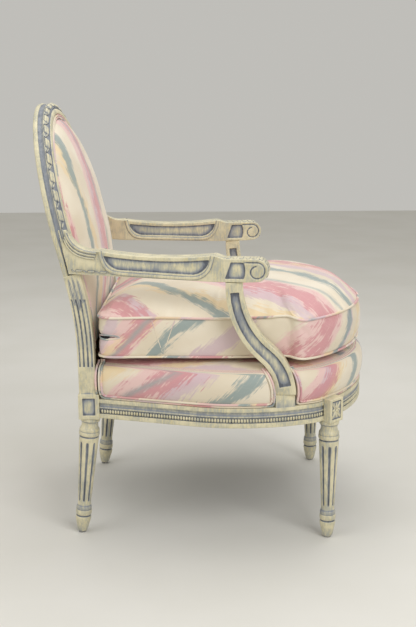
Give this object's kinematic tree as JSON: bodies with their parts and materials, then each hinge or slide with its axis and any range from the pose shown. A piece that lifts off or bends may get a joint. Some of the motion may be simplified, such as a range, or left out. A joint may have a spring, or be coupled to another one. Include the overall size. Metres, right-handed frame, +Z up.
{
  "type": "bergere chair",
  "caption": "Open-arm upholstered chair with an arched moulded back frame, scroll arms on curved posts, turned fluted legs, a stuffed deck and a loose boxed seat cushion.",
  "frame": {"origin": "middle of the overall box, on the floor under the legs", "axes": "+Z up, -Y the way the chair faces, +X the sitter's left"},
  "size_m": [0.656, 0.746, 0.95],
  "materials": {
    "painted_wood": "satin cream paint with a blue-grey glaze left in the recesses",
    "raw_wood": "unpainted beech",
    "print_fabric": "ivory cotton with brushed pastel bands, slight sheen",
    "welt_cord": "cord covered in the print fabric",
    "webbing": "jute webbing",
    "burlap": "open woven jute",
    "dust_cloth": "thin matte cambric",
    "zipper_tape": "woven tape",
    "zipper_metal": "plain brass",
    "glide_metal": "plated steel nail glide"
  },
  "bodies": {
    "frame": {"crest_rail": "painted_wood", "front_rail": "painted_wood", "rear_stile_left": "painted_wood", "rear_stile_right": "painted_wood", "front_leg_left": "painted_wood", "front_leg_right": "painted_wood", "side_rail_left": "painted_wood", "side_rail_right": "painted_wood", "arm_left": "painted_wood", "arm_right": "painted_wood", "arm_post_left": "painted_wood", "arm_post_right": "painted_wood", "lower_back_rail": "raw_wood", "rear_rail": "raw_wood", "corner_brace_front_left": "raw_wood", "corner_brace_front_right": "raw_wood", "corner_brace_rear_left": "raw_wood", "corner_brace_rear_right": "raw_wood", "seat_deck": "print_fabric", "inside_back_pad": "print_fabric", "outside_back_panel": "print_fabric", "inside_back_welt": "welt_cord", "webbing_lengthwise": "webbing", "webbing_crosswise": "webbing", "back_burlap": "burlap", "dust_cover": "dust_cloth", "foot_glides": "glide_metal"},
    "cushion": {"seat_cushion": "print_fabric", "cushion_piping_top": "welt_cord", "cushion_piping_bottom": "welt_cord", "cushion_zipper": "zipper_tape"},
    "zipper_slider": {"zipper_slider": "zipper_metal"}
  },
  "joints": [
    {"name": "cushion_draw", "type": "slide", "parent": "frame", "child": "cushion", "axis": [0, -0.9781, 0.2079], "range_m": [0, 0.3]},
    {"name": "zipper_slide", "type": "slide", "parent": "cushion", "child": "zipper_slider", "axis": [1, 0, 0], "range_m": [0, 0.38]}
  ]
}
